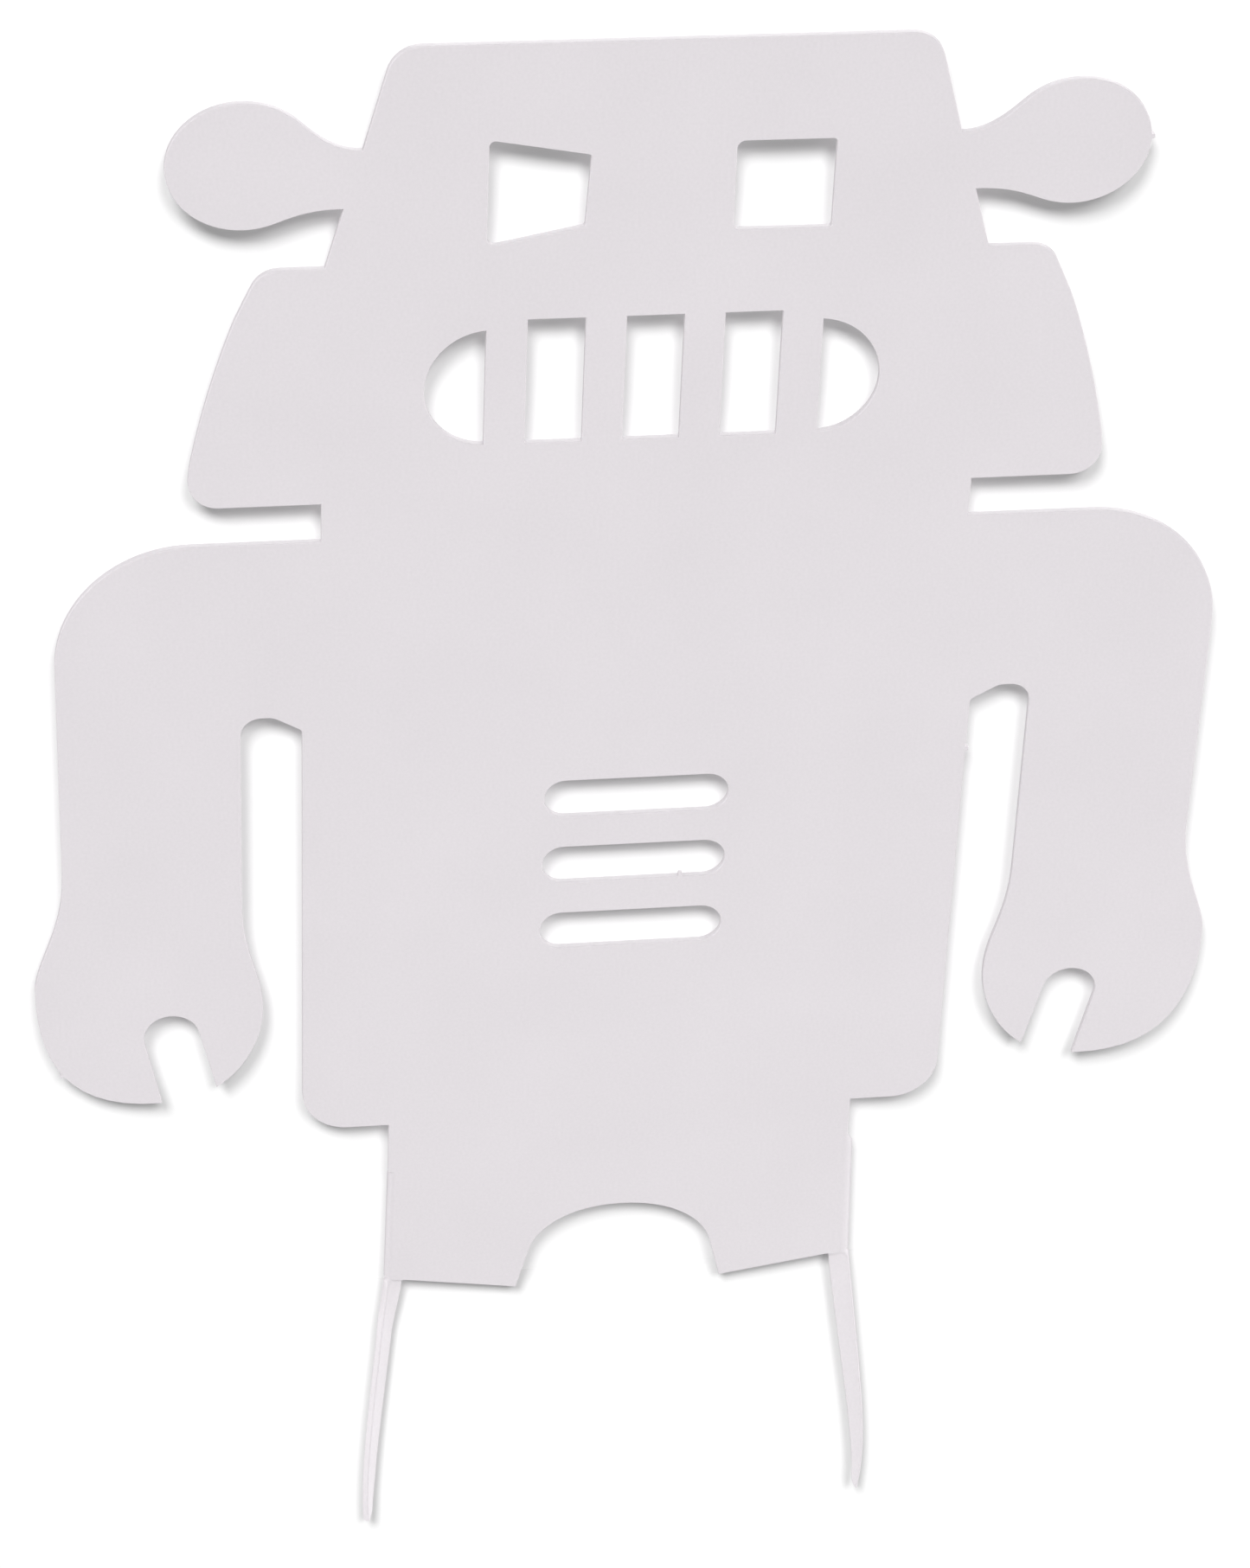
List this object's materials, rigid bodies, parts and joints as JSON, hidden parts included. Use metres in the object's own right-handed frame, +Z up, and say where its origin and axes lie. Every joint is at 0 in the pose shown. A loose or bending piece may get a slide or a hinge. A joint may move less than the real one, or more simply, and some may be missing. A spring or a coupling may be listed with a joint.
{
  "type": "garden stake robot figure",
  "caption": "Flat robot silhouette cut from thin white-coated sheet metal, with folded leg margins and pointed bent stakes below the feet for planting in soil.",
  "frame": {"origin": "midway between the stakes, on the front face, at the lowest points of the feet, which is the height of the soil when the figure is planted", "axes": "+Z up towards the head, -Y out of the front face, +X to the right as the front is looked at"},
  "size_m": [0.1012, 0.0075, 0.1453],
  "materials": {
    "body_panel": "satin white powder coat",
    "leg_flanges": "satin white powder coat",
    "stakes": "satin white powder coat"
  },
  "bodies": {
    "figure": {"body_panel": "body_panel"},
    "left_leg_margin": {"left_leg_flange": "leg_flanges"},
    "right_leg_margin": {"right_leg_flange": "leg_flanges"},
    "left_stake": {"left_stake": "stakes"},
    "right_stake": {"right_stake": "stakes"}
  },
  "joints": [
    {"name": "left_leg_flange_fold", "type": "hinge", "parent": "figure", "child": "left_leg_margin", "pos_m": [-0.02005, 0.0006, 0.00161], "axis": [0.021, 0, 0.9998], "range_deg": [0, 90]},
    {"name": "right_leg_flange_fold", "type": "hinge", "parent": "figure", "child": "right_leg_margin", "pos_m": [0.02085, 0.0006, 0.00173], "axis": [0.032, 0, -0.9995], "range_deg": [0, 90]},
    {"name": "left_stake_bend", "type": "hinge", "parent": "figure", "child": "left_stake", "pos_m": [-0.01915, 0.0003, 0.00148], "axis": [-0.9889, 0, 0.1483], "range_deg": [-15, 30]},
    {"name": "right_stake_bend", "type": "hinge", "parent": "figure", "child": "right_stake", "pos_m": [0.0195, 0.0003, 0.00153], "axis": [-0.9889, 0, -0.1483], "range_deg": [-15, 30]}
  ]
}
